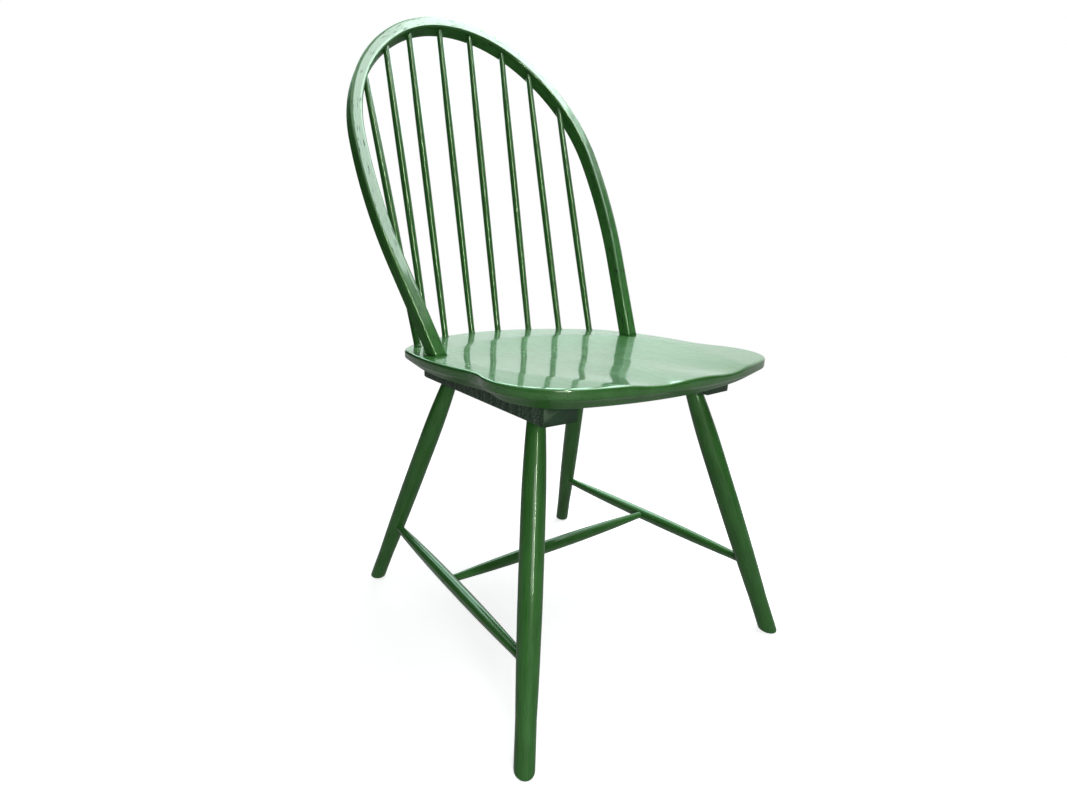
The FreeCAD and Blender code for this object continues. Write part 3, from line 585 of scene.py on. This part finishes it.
BOW_FOOT = Vector((0.1948, 0.0028, SEAT_TOP))
BOW_LEAN = math.radians(27.76)
BOW_FLARE = math.radians(10.54)
BOW_STRAIGHT = 0.147
BOW_SIDE = 0.902
BOW_SHOULDER_START = 0.3547
BOW_SHOULDER = 0.2694
BOW_CROWN = 0.2103
BOW_WIDTH = 0.0204
BOW_DEPTH = 0.024
BOW_EDGE = 0.0035
BOW_STEP = 0.005
SAWN_RINGS = 7
SAWN_STEP = 0.0042


def bow_half(step):
    """Points of the right half of the centreline in the bow's plane, and outward directions."""
    along = Vector((math.sin(BOW_FLARE), math.cos(BOW_FLARE)))
    across = Vector((math.cos(BOW_FLARE), -math.sin(BOW_FLARE)))
    foot = Vector((BOW_FOOT.x, 0))
    count = round(BOW_STRAIGHT / step)
    places = [(foot + along * BOW_STRAIGHT * i / count, across) for i in range(count)]
    side = foot + along * BOW_STRAIGHT - across * BOW_SIDE
    rise = BOW_SHOULDER_START - side.y
    out = Vector((math.sqrt(BOW_SIDE ** 2 - rise ** 2), rise)).normalized()
    shoulder = side + out * (BOW_SIDE - BOW_SHOULDER)
    above = math.sqrt((BOW_SHOULDER - BOW_CROWN) ** 2 - shoulder.x ** 2)
    crown = Vector((0, shoulder.y + above))
    last = (crown - shoulder).normalized()
    for centre, radius, first, final in ((side, BOW_SIDE, across, out),
                                         (shoulder, BOW_SHOULDER, out, last),
                                         (crown, BOW_CROWN, last, Vector((0, 1)))):
        low, high = math.atan2(first.y, first.x), math.atan2(final.y, final.x)
        count = round((high - low) * radius / step)
        for i in range(count):
            angle = low + (high - low) * i / count
            away = Vector((math.cos(angle), math.sin(angle)))
            places.append((centre + away * radius, away))
    return places, crown + Vector((0, BOW_CROWN))


def bow_direction(across_up, ahead=0.0):
    """A direction given across and up the bow's plane, and ahead of it, in the chair's frame."""
    up = Vector((0, math.sin(BOW_LEAN), math.cos(BOW_LEAN)))
    forward = Vector((0, -math.cos(BOW_LEAN), math.sin(BOW_LEAN)))
    return Vector((across_up.x, 0, 0)) + up * across_up.y + forward * ahead


def in_bow_plane(point, ahead=0.0):
    """A point of the bow's plane, moved ahead of it, in the chair's frame."""
    return Vector((0, BOW_FOOT.y, SEAT_TOP)) + bow_direction(point, ahead)


def make_bow():
    """The bow from its right foot to its left, each sawn level where it stands on the seat."""
    right, top = bow_half(BOW_STEP)
    left = [(Vector((-p.x, p.y)), Vector((-n.x, n.y))) for p, n in reversed(right)]
    line = right + [(top, Vector((0, 1)))] + left
    section = rounded_outline(BOW_WIDTH / 2, -BOW_DEPTH / 2, BOW_DEPTH / 2, BOW_EDGE, 5, 5)
    rings, grain = [], []
    travel = 0.0
    for i, (point, out) in enumerate(line):
        if i:
            travel += (point - line[i - 1][0]).length
        from_foot = min(i, len(line) - 1 - i)
        up = bow_direction(Vector((-out.y, out.x)))
        ring = []
        for across, ahead in section:
            wander = 0.0002 * noise.noise(Vector((travel * 9, across * 40, ahead * 40)))
            place = in_bow_plane(point + out * (across + wander), ahead)
            if from_foot < SAWN_RINGS:
                above = place.z - SEAT_TOP - from_foot * SAWN_STEP
                place -= up * (above / up.z) * (1 - from_foot / SAWN_RINGS)
            ring.append(place)
            grain.append((travel, across, ahead))
        rings.append(ring)
    return mesh_piece("bow_painted", rings, True, grain)


bow = make_bow()
bow.data.materials.append(
    brushed_paint("bow_paint", 0.62, 0.42, coat=1.0, level=(0.0095, 0.0118), coat_ior=1.7,
                  pore_size=(0.11, 560)))
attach(bow, "root")
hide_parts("bow")

# Spindles: eight thin turned rods, glued into the seat and into the bow's inner edge.
# They are a little fuller in the middle, and paint has settled where they stand on the seat.

SPINDLE_LOW = 0.0055
SPINDLE_MIDDLE = 0.0065
SPINDLE_HIGH = 0.00525
LOW_STRAIGHT = 0.008
HIGH_STRAIGHT = 0.020
IN_SEAT = 0.018
IN_BOW = 0.012
SPINDLE_FIRST = 0.004
SPINDLE_STEP = 0.006

# The right half's spindles: X and Y on the seat, X and height up the bow at its inner edge.
SPINDLES = [(0.029, 0.171, 0.031, 0.5877), (0.092, 0.1588, 0.096, 0.5657),
            (0.143, 0.1295, 0.147, 0.5275), (0.1824, 0.0878, 0.198, 0.4584)]

# The settled paint at the seat: distance from the spindle's end and radius.
SETTLED_PAINT = [(0.006, 0.0055), (0.0155, 0.0055), (0.0176, 0.0066), (0.0183, 0.0062),
                 (0.0192, 0.0058), (0.0205, 0.0056)]


def spindle_radius(distance, length):
    """Thin at the seat, fullest half way up, thinnest where it enters the bow."""
    middle = length / 2
    if distance < LOW_STRAIGHT:
        return SPINDLE_LOW
    if distance < middle:
        share = (distance - LOW_STRAIGHT) / (middle - LOW_STRAIGHT)
        return swell(SPINDLE_LOW, SPINDLE_MIDDLE, share)
    if distance < length - HIGH_STRAIGHT:
        share = (length - HIGH_STRAIGHT - distance) / (middle - HIGH_STRAIGHT)
        return swell(SPINDLE_HIGH, SPINDLE_MIDDLE, share)
    return SPINDLE_HIGH


spindle_finish = brushed_paint("spindle_paint", 0.80, 0.34, coat=1.0, dark=0.25)
spindle_ends = [(ends, -1) for ends in reversed(SPINDLES)] + [(ends, 1) for ends in SPINDLES]
for number, ((x, y, bow_x, bow_y), side) in enumerate(spindle_ends, 1):
    low = on_side((x, y, SEAT_TOP), side)
    high = on_side(in_bow_plane(Vector((bow_x, bow_y))), side)
    up = (high - low).normalized()
    length = (high - low).length
    rings_at = list(SETTLED_PAINT)
    steps = round((length - SPINDLE_FIRST) / SPINDLE_STEP)
    for i in range(1, steps + 1):
        distance = SPINDLE_FIRST + (length - SPINDLE_FIRST) * i / steps
        rings_at.append((IN_SEAT + distance, spindle_radius(distance, length)))
    rings_at.append((IN_SEAT + length + IN_BOW, SPINDLE_HIGH))
    spindle = turned_piece(f"spindle_{number}_painted", low - up * IN_SEAT, high, rings_at,
                           sides=32, seed=number * 1.7)
    spindle.data.materials.append(spindle_finish)
    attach(spindle, "root")
    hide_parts(f"spindle_{number}")

# Screws and nails: slotted steel screws flush in the battens and under the bow's feet.
# They were driven before the last coat, so paint has caught in the slots.


def driven_steel(name):
    """Bright worn steel with green paint left in spots."""
    finish = Finish(name)
    place = finish.node("ShaderNodeTexCoord", {}, output=3)
    spots = finish.noise(place, (1, 1, 1), 900, 4, 0.7)
    caught = finish.between(spots, 0, 1, 0.48, 0.58)
    colour = finish.blend(caught, (0.24, 0.25, 0.23, 1), (0.030, 0.080, 0.045, 1))
    bump = finish.node("ShaderNodeBump", {}, {"Strength": 0.5, "Distance": 0.0001,
                                              "Height": spots})
    return finish.surface(Base_Color=colour, Metallic=1 - caught, Normal=bump,
                          Roughness=finish.between(spots, 0.30, 0.60, 0.3, 0.7))


steel = driven_steel("screw_steel")
for name in ("batten_screws_left", "batten_screws_right", "bow_screws", "stretcher_brads"):
    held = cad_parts[name]
    held.data.materials.clear()
    held.data.materials.append(steel)

# Studio: a pale floor that turns pure white a little way off, a white sky, and a dark curtain
# that keeps the paint's darks deep. Three soft lamps light the chair, and three more only show
# as reflections in its gloss.

FLOOR_HALF = 40
FLOOR_LIT = 0.55
FLOOR_WHITE = 1.25
CURTAIN_RADIUS = 3.2
CURTAIN_HEIGHT = 3.4
CURTAIN_START = 88
CURTAIN_TURN = 252
CURTAIN_FOLDS = 32


def looked_at(finish, *kinds):
    """1 for what rays of these kinds see, and 0 for the light that falls on things."""
    seen = finish.node("ShaderNodeLightPath", output=f"Is {kinds[0]} Ray")
    for kind in kinds[1:]:
        ray = finish.node("ShaderNodeLightPath", output=f"Is {kind} Ray")
        seen = finish.math("MAXIMUM", seen, ray)
    return seen


def make_floor():
    """A level square that takes the chair's shadow near its feet and glows white further off."""
    corners = [(-1, -1), (1, -1), (1, 1), (-1, 1)]
    mesh = bpy.data.meshes.new("floor")
    mesh.from_pydata([(FLOOR_HALF * x, FLOOR_HALF * y, 0) for x, y in corners], [], [(0, 1, 2, 3)])
    piece = bpy.data.objects.new("floor", mesh)
    bpy.context.scene.collection.objects.link(piece)
    pale = Finish("floor_pale")
    place = pale.node("ShaderNodeTexCoord", {}, output=3)
    away = pale.node("ShaderNodeVectorMath", {"operation": "LENGTH"}, {0: place}, output=1)
    far = pale.node("ShaderNodeMapRange", {"interpolation_type": "SMOOTHSTEP"},
                    {0: away, 1: FLOOR_LIT, 2: FLOOR_WHITE, 3: 0.0, 4: 1.0})
    seen = looked_at(pale, "Camera", "Transmission")
    grey = pale.between(seen, 0.10, 0.85) * (1 - far * seen)
    mesh.materials.append(pale.surface(
        Base_Color=grey, Roughness=0.9, Specular_IOR_Level=0.0,
        Emission_Color=seen * (0.72 + far * 0.28) + looked_at(pale, "Glossy") * 0.4,
        Emission_Strength=1.0))


make_floor()


def make_curtain():
    """A dark cloth from the back round by the left and the front, which the camera doesn't see."""
    rings = []
    for i in range(CURTAIN_FOLDS + 1):
        angle = math.radians(CURTAIN_START + CURTAIN_TURN * i / CURTAIN_FOLDS)
        x, y = CURTAIN_RADIUS * math.cos(angle), CURTAIN_RADIUS * math.sin(angle)
        rings.append([(x, y, 0.0), (x, y, CURTAIN_HEIGHT)])
    piece = mesh_piece("curtain", rings, False, caps=False)
    cloth = Finish("curtain_dark")
    piece.data.materials.append(cloth.surface(Base_Color=(0.02, 0.02, 0.02, 1), Roughness=0.9,
                                              Specular_IOR_Level=0.0))
    piece.visible_camera = False


make_curtain()

world = bpy.data.worlds.new("studio")
world.use_nodes = True
bpy.context.scene.world = world
sky = Finish("sky", world)
seen = looked_at(sky, "Camera", "Glossy", "Transmission")
tint = sky.blend(looked_at(sky, "Glossy"), (1, 1, 1, 1), (0.88, 1.0, 0.92, 1))
sky.fill(sky.shader.inputs, {"Color": tint, "Strength": sky.between(seen, 0.26, 1.0)})


def lamp(name, place, target, width, height, radiance, colour, mirrored=False):
    """A soft rectangular lamp of an even brightness, where 1 is white.

    A mirrored one shows in the gloss and doesn't light the colour.
    """
    data = bpy.data.lights.new(name, "AREA")
    data.shape = "RECTANGLE"
    data.size = width
    data.size_y = height
    data.energy = radiance * math.pi * width * height
    data.color = colour
    light = bpy.data.objects.new(name, data)
    light.location = place
    light.rotation_euler = (Vector(target) - Vector(place)).to_track_quat("-Z", "Y").to_euler()
    light.visible_camera = False
    light.visible_diffuse = not mirrored
    bpy.context.scene.collection.objects.link(light)


# Overhead, left and near light the chair. Above is for the bow's top to mirror, window for the
# seat and the stretchers' tops, and strip draws the thin bright line down the spindles and legs.

lamp("overhead", (1.05, -0.25, 2.6), (0.7, -0.15, 0.4), 2.3, 1.2, 5.0, (0.86, 1.0, 0.96))
lamp("above", (1.30, -0.25, 2.6), (0.8, -0.15, 0.4), 0.8, 1.2, 3.2, (0.70, 1.0, 0.82), True)
lamp("left", (-1.3, 0.7, 2.9), (-0.2, 0, 0.3), 3.0, 2.6, 0.4, (0.84, 0.95, 1.0))
lamp("window", (0.92, 2.52, 2.35), (0, 0, 0.1), 4.4, 2.0, 4.0, (0.60, 1.0, 0.80), True)
lamp("strip", (-0.75, -2.1, 1.6), (0, 0, 0.6), 0.07, 2.6, 140.0, (0.75, 1.0, 0.60), True)
lamp("near", (-0.7, -1.3, 0.6), (-0.1, 0, 0.25), 0.5, 0.5, 10.0, (0.98, 1.0, 0.96))

# Camera: where the photograph was taken from, with a wide lens close to the chair.
# Its place, turn and lens come from a fit to the chair's outlines in the photo, which is 1067
# pixels wide: the focal length and the shift of the middle are in those pixels.

IMAGE_WIDTH = 1067
FOCAL_LENGTH = 558.14
SHIFT = (69.94, -3.11)
CAMERA_PLACE = (-0.57470, -0.69358, 0.58369)
CAMERA_YAW = -0.54772
CAMERA_PITCH = 0.24857
CAMERA_ROLL = -0.00300

camera_data = bpy.data.cameras.new("photo")
camera_data.sensor_width = 36
camera_data.lens = camera_data.sensor_width * FOCAL_LENGTH / IMAGE_WIDTH
camera_data.shift_x = SHIFT[0] / IMAGE_WIDTH
camera_data.shift_y = SHIFT[1] / IMAGE_WIDTH
camera = bpy.data.objects.new("photo", camera_data)
camera.location = CAMERA_PLACE
heading = Matrix.Rotation(CAMERA_YAW, 4, "Z")
tilt = Matrix.Rotation(math.pi / 2 - CAMERA_PITCH, 4, "X")
camera.rotation_euler = (heading @ tilt @ Matrix.Rotation(CAMERA_ROLL, 4, "Z")).to_euler()
bpy.context.scene.collection.objects.link(camera)
bpy.context.scene.camera = camera
bpy.context.scene.view_settings.view_transform = "Standard"
